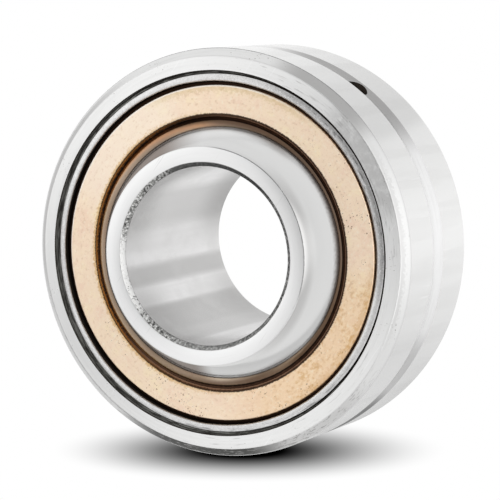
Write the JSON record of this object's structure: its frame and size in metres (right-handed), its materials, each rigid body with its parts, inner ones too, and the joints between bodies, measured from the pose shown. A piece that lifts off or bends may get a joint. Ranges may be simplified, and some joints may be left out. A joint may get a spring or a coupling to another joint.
{
  "type": "spherical plain bearing",
  "caption": "Steel on bronze plain bearing: a bored steel ball turns and tilts in a bronze race, which a grooved outer ring with a grease hole holds by its staked lips.",
  "frame": {"origin": "centre of the ball, half way along the bore", "axes": "+Z along the bore; the grease hole is on +X; the bearing rests on an end face of the inner ring"},
  "size_m": [0.046, 0.046, 0.025],
  "materials": {
    "ring_steel": "ground outside, finely turned on the faces and in the groove",
    "race_bronze": "turned bronze, lightly pitted, with dark brown edges",
    "ball_steel": "polished ball, ground end faces and bore"
  },
  "bodies": {
    "outer": {"outer_ring": "ring_steel", "bronze_race": "race_bronze"},
    "inner": {"inner_ring": "ball_steel"}
  },
  "joints": [
    {"name": "ball_tilt", "type": "hinge", "parent": "outer", "child": "inner", "pos_m": [0, 0, 0], "axis": [0, 1, 0], "range_deg": [-14, 14]}
  ]
}
